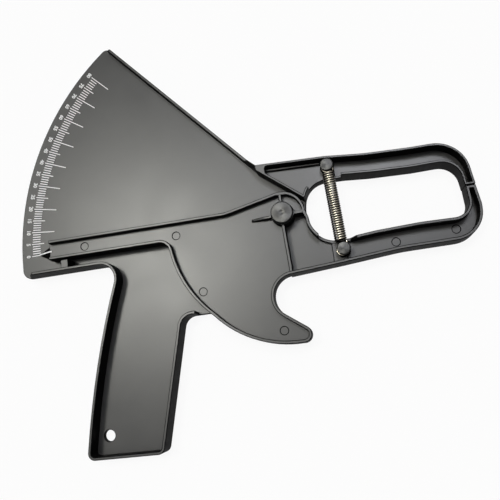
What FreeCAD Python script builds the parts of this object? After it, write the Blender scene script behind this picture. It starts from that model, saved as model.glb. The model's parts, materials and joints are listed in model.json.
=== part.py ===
import FreeCAD, Part
import math
import os

# Skinfold caliper: a frame with scale sector, pistol grip and fixed jaw, a lever with
# pointer arm, trigger and moving jaw, and a tension spring that closes the jaws.
# Millimetres, +Z up.  The back of the frame lies on z = 0 and the pivot's axis is Z.
# The scale's zero lies close to -X and the jaws meet on the +X side.

V = FreeCAD.Vector

# ---- driving dimensions -------------------------------------------------------------
HEIGHT = 13.0            # back face to the top of the rims
FLOOR = 3.2              # sector and grip plate
WALL = 1.8               # rims of the sector and grip
JAW_WALL = 1.5           # rims of the upper jaw
LEVER_WALL = 1.8         # rims of the lever

SECTOR_RADIUS = 163.2
JAW_RADIUS = 104.2       # pivot to the jaws' contact, which sets the scale
SCALE_LIMIT = 80         # last graduation, millimetres of jaw opening
ZERO_DEG = 179.6         # direction of the zero mark
ARM_DEG = 179.7          # direction of the pointer arm with the jaws closed

EDGE_NORMAL_DEG = 41.2   # the sector's straight upper edge
EDGE_OFFSET = 11.85
EDGE_RIM_TOP = 8.2
EDGE_RIM_START = 24.0    # along the edge from the pivot's foot point
EDGE_RIM_FALL = 30.0     # the rim falls from the jaw's height here
EDGE_RIM_LEVEL = 39.0
EDGE_RIM_END = 158.4
EDGE_RIM_BEVEL = 1.5
RIB_NORMAL_DEG = 50.3    # the rib between the sector and the upper jaw
RIB_OFFSET = 13.9
STRIP_EDGE = -12.6       # lower edge of the sector, y
GRIP_TOP = -49.2         # lower edge of the plate right of the grip, y

JAW_FLOOR = 4.5          # floor of the upper jaw's channel
JAW_BACK = 2.0           # depth of the hollow behind each jaw
BACK_WALL = 1.8          # rims of that hollow
BACK_START = 17.0        # its left end, x
POCKET_FLOOR = 6.6       # floor of the triangular pocket beside the hub
RIDGE_TOP = 8.5          # ridge between the pocket and the jaw's channel
CHANNEL_END = -6.4       # left end of the channel and the pocket, x
CHANNEL_ROUND = 1.5
CONTACT_Y = -1.0         # line where the jaws meet
CONTACT_GAP = 0.4
NOTCH_FLOOR = 7.2        # rims step down to this under the spring
UPPER_NOTCH_START = (16.9, 12.6)   # the spring's upper notch starts square to the rim here
UPPER_NOTCH_DEG = -40.0            # direction of that start
UPPER_NOTCH_END = 35.8   # the spring's notches, x
UPPER_NOTCH_FAR = 20.0   # the upper notch cuts only the rim on the window's side, y
LOWER_NOTCH_START = 18.4
LOWER_NOTCH_END = 35.3
LOWER_NOTCH_RAMP = 3.6
LOWER_NOTCH_FAR = -23.5  # the lower notch cuts only the rim on the window's side, y
LOWER_NOTCH_WIDTH = 18.5
PAD_START = 24.6         # flat pads round the spring posts, x
PAD_END = 32.7
PAD_DROP = 0.6           # pad surface below the notch floor

LEVER_LOW = 3.7          # underside of the lever over the frame's plate
LEVER_DEEP = 0.3         # underside of the moving jaw, beside the frame
WEB_LOW = 6.3            # web of the arm and trigger
WEB_TOP = 9.0
LOWER_JAW_FLOOR = 5.0
ARM_HALF = 5.9
ARM_END = -141.0
WEB_END = -142.3
TIP_X = -150.5
TIP_TOP = 5.2
RIDGE_HALF = 0.5         # half width of the pointer's ridge
BOSS_RADIUS = 12.9
HUB_RADIUS = 6.7
HUB_LOW = 4.0
GUSSET_SIDE = -1.6       # the hub's left rib, y
GUSSET_WIDTH = 1.7
HUB_RIB = 1.9            # width of the hub's other ribs
HUB_RIB_Y = -0.6         # the rib towards the jaws, y
HUB_TOP = 12.3
FRAME_HUB_RADIUS = 13.2
CLEAR_RADIUS = 13.9      # the moving jaw starts outside the frame's hub

PIN_RADIUS = 3.0
PIN_FIT = 0.05
PIN_HEAD_RADIUS = 6.25
PIN_HEAD_LOW = 13.0
PIN_HEAD_TOP = 16.0
PIN_HEAD_BEVEL = 0.35
PIN_DIMPLE_RADIUS = 1.5
PIN_DIMPLE_DEPTH = 0.18
WASHER_RADIUS = 6.1
NUT_RECESS_RADIUS = 6.2
NUT_RECESS_DEPTH = 1.5
NUT_RADIUS = 5.6
NUT_LOW = 0.5
NUT_THICKNESS = 0.7
NUT_SLOTS = 6
NUT_SLOT_CIRCLE = 4.3
NUT_SLOT_RADIUS = 0.6

UPPER_POST = (28.7, 24.0)
LOWER_POST = (30.9, -25.1)
SPRING_FOOT = (30.2, -25.1)   # the spring's line runs from the upper post to here
POST_NECK = 1.4
POST_HEAD = 3.8
POST_HEAD_LOW = 12.2
POST_HEAD_TOP = 14.0
POST_HEAD_BEVEL = 0.35
POST_BOSS = 3.9          # boss that a post stands in
POST_COLLAR = 3.5
POST_LOW = 1.8           # plain end of the posts
LOOP_REST = 1.5          # boss top below the spring's line
SPRING_AXIS = 11.2       # height of the spring's centre line
SPRING_MEAN = 3.0        # mean radius of coils and loops
WIRE = 1.0
PITCH = 1.326
COIL_START = 4.75        # along the spring from the upper post
COIL_TURNS = 30
UPPER_LOOP = 0.9         # loop centre, along the spring from the upper post
LOWER_LOOP_LEAD = 0.4    # loop centre beyond the spring's foot

STOP_LEFT = -134.1       # zero stop under the arm, x
STOP_RIGHT = -129.3
STOP_GAP = 0.3
STOP_TOP = 12.7
HOLE_X = -115.3          # hanging hole
HOLE_Y = -109.9
HOLE_RADIUS = 3.2

BEYOND = 120.0           # past the jaws' tips, x
OVER = 40.0              # past the upper jaw, y
UNDER = -60.0            # past the moving jaw, y
WINDOW_TOP = 12.0        # past the jaws' contact, seen from the moving jaw, y

INK = 0.08
TICK_WIDTH = 0.5
TICK_OUTER = 156.6
LONG_TICK = 14.6
MID_TICK = 8.0
SHORT_TICK = 5.0
SHORT_INSET = 0.6
LINE_WIDTH = 0.8         # pointer line
LINE_END = -141.0
PRINT_LIFT = 0.002

MARK_RADIUS = 2.6        # shallow round marks in the lever's web
MARK_DEPTH = 0.3
MARKS = [(-63.5, -2.0, WEB_TOP), (-51.0, -37.0, WEB_TOP), (-8.0, -65.0, WEB_TOP),
         (-120.0, 0.6, WEB_TOP), (60.0, -24.6, LOWER_JAW_FLOOR), (93.0, -22.6, LOWER_JAW_FLOOR)]


# ---- plane geometry -----------------------------------------------------------------
def polar(radius, degrees):
    """Point (x, y) at a radius and an angle about the pivot."""
    angle = math.radians(degrees)
    return (radius * math.cos(angle), radius * math.sin(angle))


def beside(normal_deg, offset, along):
    """Point on the line at an offset from the pivot, some way along it to the left."""
    nx, ny = polar(1.0, normal_deg)
    return (offset * nx - along * ny, offset * ny + along * nx)


def corner_arc(here, corner, onward, radius):
    """Arc that rounds a corner between two straight runs, and the point where it ends."""
    back = (here - corner).normalize()
    ahead = (onward - corner).normalize()
    half_turn = (math.pi - back.getAngle(ahead)) / 2
    reach = radius * math.tan(half_turn)
    middle = (back + ahead).normalize() * (radius / math.cos(half_turn) - radius)
    first, last = corner + back * reach, corner + ahead * reach
    return first, Part.Arc(first, corner + middle, last).toShape(), last


def outline(start, *moves):
    """Closed wire on z = 0.  A move is a corner (x, y), a rounded corner (x, y, radius)
    between straight runs, or a pair: point passed, end of arc."""
    edges = []
    here = V(*start, 0)
    moves = moves + (start,)
    for move, following in zip(moves, moves[1:] + (start,)):
        if isinstance(move[0], tuple):
            end = V(*move[1], 0)
            edges.append(Part.Arc(here, V(*move[0], 0), end).toShape())
        elif len(move) == 3:
            corner, onward = V(move[0], move[1], 0), V(following[0], following[1], 0)
            first, arc, end = corner_arc(here, corner, onward, move[2])
            edges.extend([Part.LineSegment(here, first).toShape(), arc])
        else:
            end = V(*move, 0)
            if end.distanceToPoint(here) < 1e-6:
                continue
            edges.append(Part.LineSegment(here, end).toShape())
        here = end
    return Part.Wire(edges)


def prism(shape, low, high):
    """Upright solid on a closed wire or face."""
    face = shape if shape.ShapeType == "Face" else Part.Face(shape)
    solid = face.extrude(V(0, 0, high - low))
    solid.translate(V(0, 0, low))
    return solid


def stands_at(edge, x, y):
    """True for an upright edge at (x, y)."""
    return all(math.hypot(v.X - x, v.Y - y) < 0.02 for v in edge.Vertexes)


def rounded_face(wire, corners):
    """Face on z = 0 whose named corners (point, radius) are rounded."""
    solid = prism(wire, 0, 1)
    for (x, y), radius in corners:
        edges = [edge for edge in solid.Edges if stands_at(edge, x, y)]
        solid = solid.makeFillet(radius, edges)
    bases = [face for face in solid.Faces if abs(face.CenterOfMass.z) < 1e-6]
    return bases[0]


def inset(face, distance):
    """The face, smaller by a distance all round."""
    return face.makeOffset2D(-distance, 0, False, False, True)


def disc(x, y, radius, low, high):
    """Upright cylinder."""
    return Part.makeCylinder(radius, high - low, V(x, y, low))


def tube(x, y, outer, inner, low, high):
    """Upright ring."""
    return disc(x, y, outer, low, high).cut(disc(x, y, inner, low, high))


def block(x0, x1, y0, y1, low, high):
    """Box between two corners."""
    return Part.makeBox(x1 - x0, y1 - y0, high - low, V(x0, y0, low))


def wall_along(start, end, width, low, high):
    """Straight rib of a width, centred on the line between two points."""
    run = V(end[0] - start[0], end[1] - start[1], 0)
    side = V(-run.y, run.x, 0).normalize() * (width / 2)
    a, b = V(*start, 0), V(*end, 0)
    wire = Part.makePolygon([a + side, b + side, b - side, a - side, a + side])
    return prism(wire, low, high)


def turned(profile):
    """Solid of revolution about Z from (radius, z) points."""
    wire = Part.makePolygon([V(r, 0, z) for r, z in profile + profile[:1]])
    return Part.Face(wire).revolve(V(0, 0, 0), V(0, 0, 1), 360)


# ---- frame --------------------------------------------------------------------------
EDGE_CORNER = beside(EDGE_NORMAL_DEG, EDGE_OFFSET, 31.0)
APEX = beside(EDGE_NORMAL_DEG, EDGE_OFFSET, math.sqrt(SECTOR_RADIUS ** 2 - EDGE_OFFSET ** 2))
SECTOR_FOOT = (-math.sqrt(SECTOR_RADIUS ** 2 - STRIP_EDGE ** 2), STRIP_EDGE)
GRIP_SHOULDER = (-97.9, STRIP_EDGE)
GRIP_SIDE = (-113.6, -62.0)
GRIP_LEFT = (-125.4, -121.6)
GRIP_RIGHT = (-81.5, -122.4)
GRIP_NECK = (-63.9, GRIP_TOP)
PLATE_CORNER = (-42.0, GRIP_TOP)
PLATE_BEND = (-40.0, -36.5)
RIM_END_X = -56.0
RIM_LIMIT = [(-104.0, -9.0), (-90.0, -30.0), (-72.0, -46.0), (RIM_END_X, -46.0)]
STRIP_RIM_START = -157.0
STRIP_RIM_SLOPE = 5.0


def plate_face():
    """Sector, grip and hub plate."""
    wire = outline(
        EDGE_CORNER, APEX,
        (polar(SECTOR_RADIUS, 155.0), SECTOR_FOOT),
        GRIP_SHOULDER, (GRIP_SIDE, GRIP_LEFT),
        GRIP_RIGHT + (4.0,), GRIP_NECK + (7.0,), PLATE_CORNER + (7.0,), PLATE_BEND + (18.0,),
        polar(FRAME_HUB_RADIUS, -148.0),
        (polar(FRAME_HUB_RADIUS, -60.0), polar(FRAME_HUB_RADIUS, 1.0)),
        ((13.5, 4.2), (14.6, 9.0)), (-4.0, 28.5))
    return rounded_face(wire, [(APEX, 4.0), (SECTOR_FOOT, 5.5), (GRIP_SHOULDER, 9.0), (GRIP_LEFT, 4.0)])


def grip_walls(face):
    """Rim along the strip, down the grip, round its foot and up to its neck."""
    ring = prism(face, FLOOR, HEIGHT).cut(prism(inset(face, WALL), FLOOR, HEIGHT))
    above, below = RIM_LIMIT[0][1], GRIP_LEFT[1] - 9
    zone = outline((STRIP_RIM_START, above), *RIM_LIMIT, (RIM_END_X, below), (STRIP_RIM_START, below))
    walls = ring.common(prism(zone, FLOOR, HEIGHT))
    left, right = STRIP_RIM_START - 1, STRIP_RIM_START + STRIP_RIM_SLOPE
    slope = Part.makePolygon([V(left, 0, FLOOR), V(left, 0, HEIGHT + 1), V(right, 0, HEIGHT + 1),
                              V(STRIP_RIM_START, 0, FLOOR + 3), V(STRIP_RIM_START, 0, FLOOR),
                              V(left, 0, FLOOR)])
    wedge = Part.Face(slope).extrude(V(0, STRIP_EDGE - WALL, 0))
    return walls.cut(wedge)


def edge_rim():
    """Low rim along the sector's straight edge, rising to meet the jaw."""
    stations = [(EDGE_RIM_START, FLOOR), (EDGE_RIM_START, HEIGHT), (EDGE_RIM_FALL, HEIGHT),
                (EDGE_RIM_LEVEL, EDGE_RIM_TOP), (EDGE_RIM_END - EDGE_RIM_BEVEL, EDGE_RIM_TOP),
                (EDGE_RIM_END, EDGE_RIM_TOP - EDGE_RIM_BEVEL), (EDGE_RIM_END, FLOOR)]
    points = []
    for along, z in stations + stations[:1]:
        x, y = beside(EDGE_NORMAL_DEG, EDGE_OFFSET, along)
        points.append(V(x, y, z))
    inward = V(*polar(-WALL, EDGE_NORMAL_DEG), 0)
    return Part.Face(Part.makePolygon(points)).extrude(inward)


UPPER_TIP_OUT = (106.1, CONTACT_Y + CONTACT_GAP / 2)
UPPER_TIP_IN = (100.4, CONTACT_Y + CONTACT_GAP / 2)
RIDGE_LEFT = (-12.0, 28.35)
RIDGE_RIGHT = (25.0, 26.9)
RIDGE_WIDTH = 1.2
RIB_HEAD = beside(RIB_NORMAL_DEG, RIB_OFFSET, 27.0)
RIB_FOOT = beside(RIB_NORMAL_DEG, RIB_OFFSET, -5.7)


def upper_jaw_face():
    """Upper jaw with the triangular pocket beside the hub."""
    wire = outline(
        UPPER_TIP_OUT, (105.0, 9.5, 12.0), (104.0, 25.7, 18.5), (75.0, 25.9, 120.0),
        (50.0, 27.0, 150.0), (28.0, 29.4, 60.0),
        EDGE_CORNER, RIB_HEAD, RIB_FOOT, (14.3, 7.9),
        ((18.7, 14.2), (27.5, 16.8)),
        (37.0, 16.6, 40.0), (52.0, 15.2, 80.0), (75.0, 14.2), (99.0, 14.4, 11.0), UPPER_TIP_IN)
    return Part.Face(wire)


def jaw_hollow(face):
    """Room inside the upper jaw's rims, with a rounded end over the hub."""
    hollow = prism(inset(face, JAW_WALL), JAW_FLOOR, HEIGHT)
    hollow = hollow.cut(block(EDGE_CORNER[0], CHANNEL_END, 0, OVER, JAW_FLOOR, HEIGHT))
    ends = [edge for edge in hollow.Edges
            if all(abs(vertex.X - CHANNEL_END) < 0.01 for vertex in edge.Vertexes)
            and edge.BoundBox.YLength < 0.01]
    corner = max(ends, key=lambda edge: edge.CenterOfMass.y)
    return hollow.makeFillet(CHANNEL_ROUND, [corner])


def post_boss(post, low):
    """Boss that a spring post stands in."""
    return disc(*post, POST_BOSS, low, SPRING_AXIS - LOOP_REST)


def upper_notch():
    """Space over the upper jaw's rim for the spring."""
    (x, y), slope = UPPER_NOTCH_START, math.tan(math.radians(UPPER_NOTCH_DEG))
    wire = outline((x + (UPPER_NOTCH_FAR - y) / slope, UPPER_NOTCH_FAR), (x - y / slope, 0),
                   (UPPER_NOTCH_END, 0), (UPPER_NOTCH_END, UPPER_NOTCH_FAR))
    return prism(wire, NOTCH_FLOOR, HEIGHT + 1)


def upper_jaw():
    """Fixed jaw: channel, pocket, post pad and the notch that the spring swings over."""
    face = upper_jaw_face()
    cavity = jaw_hollow(face)
    jaw = prism(face, 0, HEIGHT).cut(cavity)
    pocket = prism(outline(RIDGE_LEFT, (PAD_START, RIDGE_RIGHT[1]), (PAD_START, 0), (RIDGE_LEFT[0], 0)),
                   JAW_FLOOR, POCKET_FLOOR)
    ridge = wall_along(RIDGE_LEFT, RIDGE_RIGHT, RIDGE_WIDTH, JAW_FLOOR, RIDGE_TOP)
    pad = block(PAD_START, PAD_END, 0, OVER, JAW_FLOOR, NOTCH_FLOOR - PAD_DROP)
    for piece in (pocket, ridge, pad):
        jaw = jaw.fuse(piece.common(cavity))
    jaw = jaw.cut(upper_notch())
    back = prism(inset(face, BACK_WALL), 0, JAW_BACK)
    back = back.common(block(BACK_START, BEYOND, CONTACT_Y, OVER, 0, JAW_BACK))
    jaw = jaw.cut(back.cut(disc(*UPPER_POST, POST_BOSS, 0, JAW_BACK)))
    jaw = jaw.fuse(post_boss(UPPER_POST, JAW_FLOOR))
    return jaw.cut(disc(*UPPER_POST, POST_NECK, POST_LOW, HEIGHT))


def frame_moulding():
    """The whole frame as one solid."""
    face = plate_face()
    body = prism(face, 0, FLOOR)
    body = body.fuse([grip_walls(face), edge_rim(), upper_jaw()])
    stop = block(STOP_LEFT, STOP_RIGHT, STRIP_EDGE + WALL - 0.2, -ARM_HALF - STOP_GAP, FLOOR, STOP_TOP)
    body = body.fuse(stop).removeSplitter()
    body = body.cut(disc(0, 0, PIN_RADIUS, -1, FLOOR + 1))
    body = body.cut(disc(0, 0, NUT_RECESS_RADIUS, -1, NUT_RECESS_DEPTH))
    return body.cut(disc(HOLE_X, HOLE_Y, HOLE_RADIUS, -1, FLOOR + 1))


# ---- lever --------------------------------------------------------------------------
LOWER_TIP_OUT = (105.9, CONTACT_Y - CONTACT_GAP / 2)
LOWER_TIP_IN = (100.6, CONTACT_Y - CONTACT_GAP / 2)
BOSS_LEFT_DEG = 102.6
FINGER_CENTRE = (1.1, -46.8)
FINGER_RADIUS = 11.85
RIB_BOTTOM = (0.6, -34.9)


def on_arm(along, side):
    """Point on the pointer arm: x along its centre line, and distance to the scale's side."""
    turn = math.radians(ARM_DEG - 180)
    return (along * math.cos(turn) - side * math.sin(turn),
            along * math.sin(turn) + side * math.cos(turn))


def with_arm(shape):
    """The shape, turned about the pivot from -X to the arm's direction."""
    turned_shape = shape.copy()
    turned_shape.rotate(V(0, 0, 0), V(0, 0, 1), ARM_DEG - 180)
    return turned_shape


ARM_KINK = on_arm(-33.0, ARM_HALF)
TRIGGER_TOP = on_arm(-68.0, -ARM_HALF)


def finger_gap(degrees):
    """Point on the round gap that the forefinger fits."""
    dx, dy = polar(FINGER_RADIUS, degrees)
    return (FINGER_CENTRE[0] + dx, FINGER_CENTRE[1] + dy)


def lever_face():
    """Arm, trigger, hub and jaw in one outline, seen from the front."""
    wire = outline(
        on_arm(ARM_END, ARM_HALF), on_arm(ARM_END, -ARM_HALF), TRIGGER_TOP,
        (polar(68.6, -155.0), polar(69.1, -131.2)),
        ((-20.9, -69.2), (1.9, -73.0)),
        ((7.1, -68.3), (5.2, -64.7)),
        finger_gap(235.0), (finger_gap(180.0), finger_gap(98.0)),
        (30.0, -32.9, 60.0), (62.0, -30.2, 120.0), (106.3, -30.1, 16.0), (107.2, -12.0, 14.0),
        LOWER_TIP_OUT, LOWER_TIP_IN,
        (101.1, -17.8, 8.5), (74.0, -17.1, 120.0), (50.0, -17.9, 80.0), (37.0, -19.0, 30.0),
        (27.5, -18.9), ((18.4, -14.5), (14.3, -4.2)),
        polar(BOSS_RADIUS, 2.0),
        (polar(BOSS_RADIUS, 55.0), polar(BOSS_RADIUS, BOSS_LEFT_DEG)),
        ARM_KINK + (20.0,))
    return rounded_face(wire, [(TRIGGER_TOP, 6.0)])


def jaw_zone(low, high, grow=0.0):
    """The moving jaw's side of the hub rib, clear of the frame's hub."""
    side = prism(outline((-0.9 - grow, -8), (RIB_BOTTOM[0] - 0.7 - grow, RIB_BOTTOM[1] - 2),
                         (20, UNDER), (BEYOND, UNDER), (BEYOND, WINDOW_TOP), (40, WINDOW_TOP),
                         (FRAME_HUB_RADIUS, -2)), low, high)
    return side.cut(disc(0, 0, CLEAR_RADIUS - grow, low, high))


def arrow():
    """Pointer tip: a ridge that runs down from the web to the scale, with steep flanks."""
    base = ARM_HALF - 0.4
    root = [V(WEB_END, -base, LEVER_LOW), V(WEB_END, base, LEVER_LOW),
            V(WEB_END, RIDGE_HALF + 0.2, WEB_TOP), V(WEB_END, -RIDGE_HALF - 0.2, WEB_TOP)]
    tip = [V(TIP_X, -RIDGE_HALF - 0.1, LEVER_LOW), V(TIP_X, RIDGE_HALF + 0.1, LEVER_LOW),
           V(TIP_X, RIDGE_HALF, TIP_TOP), V(TIP_X, -RIDGE_HALF, TIP_TOP)]
    wires = [Part.makePolygon(ring + ring[:1]) for ring in (root, tip)]
    floor = block(WEB_END, ARM_END + 1.0, -base, base, LEVER_LOW, WEB_TOP)
    return with_arm(Part.makeLoft(wires, True, True).fuse(floor))


def hub_ribs():
    """Four ribs that stand between the hub and the rims."""
    low, high, start = WEB_TOP - 1, HEIGHT - 0.3, HUB_RADIUS - 0.3
    profile = [(-start, low), (-start, HUB_TOP), (-11, HUB_TOP - 0.4), (-17.5, WEB_TOP + 1.0),
               (-18.7, low), (-start, low)]
    gusset = Part.Face(Part.makePolygon([V(x, GUSSET_SIDE, z) for x, z in profile]))
    top = wall_along((0, start), (0, BOSS_RADIUS - 0.5), HUB_RIB, low, high)
    right = wall_along((start, HUB_RIB_Y), (BOSS_RADIUS - 0.5, HUB_RIB_Y), HUB_RIB, LEVER_LOW, high)
    bottom = wall_along((-0.4, -start), RIB_BOTTOM, HUB_RIB, LEVER_LOW, high)
    return [gusset.extrude(V(0, GUSSET_WIDTH, 0)), top, right, bottom]


def lower_notch():
    """Space over the moving jaw's rim for the spring, with a ramp on the jaw's side."""
    ramp_end = LOWER_NOTCH_END + LOWER_NOTCH_RAMP
    above = HEIGHT + 1
    profile = [(LOWER_NOTCH_START, NOTCH_FLOOR), (LOWER_NOTCH_END, NOTCH_FLOOR), (ramp_end, HEIGHT),
               (ramp_end, above), (LOWER_NOTCH_START, above), (LOWER_NOTCH_START, NOTCH_FLOOR)]
    side = Part.makePolygon([V(x, LOWER_NOTCH_FAR, z) for x, z in profile])
    return Part.Face(side).extrude(V(0, LOWER_NOTCH_WIDTH, 0))


def lever_moulding():
    """The whole lever as one solid."""
    face = lever_face()
    hollow = inset(face, LEVER_WALL)
    cavity_top = prism(hollow, LOWER_JAW_FLOOR, HEIGHT)
    deep = jaw_zone(LEVER_DEEP, LOWER_JAW_FLOOR)
    shell = prism(face, LEVER_LOW, HEIGHT)
    shell = shell.fuse(prism(face, LEVER_DEEP, LEVER_LOW).common(deep))
    right = prism(outline((0, -3), (0.6, UNDER), (BEYOND, UNDER), (BEYOND, WINDOW_TOP),
                          (40, WINDOW_TOP), (14, HUB_RIB_Y), (0, HUB_RIB_Y)), LOWER_JAW_FLOOR, HEIGHT)
    shell = shell.cut(cavity_top.common(right))
    left = prism(hollow, WEB_TOP, HEIGHT).cut(right)
    shell = shell.cut(left)
    under = prism(hollow, LEVER_LOW, WEB_LOW)
    under = under.cut(jaw_zone(LEVER_LOW, WEB_LOW, 1.4)).cut(right_underside())
    shell = shell.cut(under)
    back = prism(inset(face, BACK_WALL), LEVER_DEEP, JAW_BACK)
    back = back.common(block(BACK_START, BEYOND, UNDER, WINDOW_TOP, LEVER_DEEP, JAW_BACK))
    shell = shell.cut(back.cut(disc(*LOWER_POST, POST_BOSS, LEVER_DEEP, JAW_BACK)))
    pad = block(PAD_START, PAD_END, UNDER, 0, LOWER_JAW_FLOOR - 0.5, NOTCH_FLOOR - PAD_DROP)
    shell = shell.fuse(pad.common(prism(hollow, LOWER_JAW_FLOOR - 0.5, HEIGHT)))
    inside = ARM_HALF - LEVER_WALL
    end_wall = block(ARM_END - 1, ARM_END + LEVER_WALL + 0.1, -inside, inside, WEB_TOP, HEIGHT)
    shell = shell.cut(with_arm(end_wall)).cut(lower_notch())
    shell = shell.fuse([disc(0, 0, HUB_RADIUS, HUB_LOW, HUB_TOP), arrow(),
                        post_boss(LOWER_POST, LOWER_JAW_FLOOR)] + hub_ribs())
    shell = shell.cut(disc(0, 0, HUB_RADIUS + 1.0, LEVER_LOW - 1, HUB_LOW))
    shell = shell.cut(disc(0, 0, PIN_RADIUS + PIN_FIT, 0, HEIGHT))
    shell = shell.cut(disc(*LOWER_POST, POST_NECK, POST_LOW, HEIGHT))
    for x, y, z in MARKS:
        shell = shell.cut(disc(x, y, MARK_RADIUS, z - MARK_DEPTH, z + 1))
    return shell.removeSplitter()


def right_underside():
    """Solid floor left under the pocket beside the hub."""
    wire = outline((-1.8, 0.2), (-0.8, UNDER), (BEYOND, UNDER), (BEYOND, WINDOW_TOP), (14, 0.2))
    return prism(wire, LEVER_LOW, WEB_LOW)


# ---- pivot and posts ----------------------------------------------------------------
def pivot_pin():
    """Pin with a dimpled, bevelled head; its plain end is flush with the back."""
    return turned([(0, 0), (PIN_RADIUS, 0), (PIN_RADIUS, PIN_HEAD_LOW), (PIN_HEAD_RADIUS, PIN_HEAD_LOW),
                   (PIN_HEAD_RADIUS, PIN_HEAD_TOP - PIN_HEAD_BEVEL),
                   (PIN_HEAD_RADIUS - PIN_HEAD_BEVEL, PIN_HEAD_TOP),
                   (PIN_DIMPLE_RADIUS, PIN_HEAD_TOP), (0, PIN_HEAD_TOP - PIN_DIMPLE_DEPTH)])


def pivot_front_washer():
    """Washer under the pin's head."""
    return tube(0, 0, WASHER_RADIUS, PIN_RADIUS + PIN_FIT, HUB_TOP, PIN_HEAD_LOW - 0.1)


def pivot_thrust_washer():
    """Washer that keeps the hub off the frame."""
    return tube(0, 0, WASHER_RADIUS, PIN_RADIUS, FLOOR, HUB_LOW - 0.1)


def pivot_push_nut():
    """Toothed push-on nut in the recess at the back."""
    nut = tube(0, 0, NUT_RADIUS, PIN_RADIUS, NUT_LOW, NUT_LOW + NUT_THICKNESS)
    for step in range(NUT_SLOTS):
        x, y = polar(NUT_SLOT_CIRCLE, 360 / NUT_SLOTS * step)
        nut = nut.cut(disc(x, y, NUT_SLOT_RADIUS, 0, NUT_RECESS_DEPTH))
    return nut


def spring_post(post):
    """Headed pin that a spring loop hooks over."""
    pin = turned([(0, POST_LOW), (POST_NECK, POST_LOW), (POST_NECK, POST_HEAD_LOW),
                  (POST_HEAD, POST_HEAD_LOW), (POST_HEAD, POST_HEAD_TOP - POST_HEAD_BEVEL),
                  (POST_HEAD - POST_HEAD_BEVEL, POST_HEAD_TOP), (0, POST_HEAD_TOP)])
    pin.translate(V(*post, 0))
    return pin


def post_collar(post):
    """Plain ring between the boss and the spring's loop."""
    return tube(*post, POST_COLLAR, POST_NECK, SPRING_AXIS - LOOP_REST, SPRING_AXIS - 0.9)


# ---- spring -------------------------------------------------------------------------
SPRING_TOP = V(*UPPER_POST, SPRING_AXIS)
SPRING_RUN = V(*SPRING_FOOT, SPRING_AXIS) - SPRING_TOP
SPRING_LINE = V(SPRING_RUN).normalize()
COIL_END = COIL_START + COIL_TURNS * PITCH
COIL_SPLIT = (COIL_START + COIL_END) / 2


def along_spring(distance):
    """Point on the spring's line, measured from the upper post."""
    return SPRING_TOP + SPRING_LINE * distance


def loop(distance):
    """Closed ring of wire round a post."""
    return Part.makeTorus(SPRING_MEAN, WIRE / 2, along_spring(distance))


def coils(first, last):
    """The wound stretch as a plain sleeve between two distances along the spring."""
    place = along_spring(first)
    outer = Part.makeCylinder(SPRING_MEAN + WIRE / 2, last - first, place, SPRING_LINE)
    inner = Part.makeCylinder(SPRING_MEAN - WIRE / 2, last - first, place, SPRING_LINE)
    return outer.cut(inner)


# ---- print --------------------------------------------------------------------------
def scale_angle(opening):
    """Direction of the mark for a jaw opening: the chord at the jaw's radius."""
    return ZERO_DEG - math.degrees(2 * math.asin(opening / (2 * JAW_RADIUS)))


def scale_graduations():
    """One thin mark per millimetre, longer at fives and tens."""
    marks = []
    for opening in range(SCALE_LIMIT + 1):
        length, start = SHORT_TICK, TICK_OUTER - SHORT_INSET
        if opening % 5 == 0:
            length, start = MID_TICK, TICK_OUTER
        if opening % 10 == 0:
            length = LONG_TICK
        mark = block(start - length, start, -TICK_WIDTH / 2, TICK_WIDTH / 2, FLOOR, FLOOR + INK)
        mark.rotate(V(0, 0, 0), V(0, 0, 1), scale_angle(opening))
        marks.append(mark)
    return Part.makeCompound(marks)


def pointer_line():
    """Printed line that runs from the arm's web down the arrow's ridge."""
    half = LINE_WIDTH / 2
    profile = [(LINE_END, WEB_TOP), (WEB_END, WEB_TOP), (TIP_X, TIP_TOP), (TIP_X, TIP_TOP + INK),
               (WEB_END, WEB_TOP + INK), (LINE_END, WEB_TOP + INK)]
    wire = Part.makePolygon([V(x, -half, z + PRINT_LIFT) for x, z in profile + profile[:1]])
    return with_arm(Part.Face(wire).extrude(V(0, LINE_WIDTH, 0)))


def main():
    """Writes one STEP file per node."""
    nodes = {
        "frame_moulding": frame_moulding(),
        "lever_moulding": lever_moulding(),
        "pivot_pin": pivot_pin(),
        "pivot_front_washer": pivot_front_washer(),
        "pivot_thrust_washer": pivot_thrust_washer(),
        "pivot_push_nut": pivot_push_nut(),
        "upper_spring_post": spring_post(UPPER_POST),
        "lower_spring_post": spring_post(LOWER_POST),
        "upper_post_collar": post_collar(UPPER_POST),
        "lower_post_collar": post_collar(LOWER_POST),
        "spring_upper_loop": loop(UPPER_LOOP),
        "spring_upper_coils": coils(COIL_START, COIL_SPLIT),
        "spring_lower_coils": coils(COIL_SPLIT, COIL_END),
        "spring_lower_loop": loop(SPRING_RUN.Length + LOWER_LOOP_LEAD),
        "scale_graduations": scale_graduations(),
        "pointer_line": pointer_line(),
    }
    os.makedirs("parts", exist_ok=True)
    for name, shape in nodes.items():
        shape.exportStep("parts/" + name + ".step")
        print(name, shape.isValid(), len(shape.Solids), round(shape.Volume, 1))


main()
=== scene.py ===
"""Skinfold caliper: black mouldings, a printed scale, a turned pivot and a tension spring."""

import json
import logging
import math
from dataclasses import dataclass
from enum import Enum

import bmesh
import bpy
import numpy as np
from mathutils import Matrix, Vector


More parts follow.
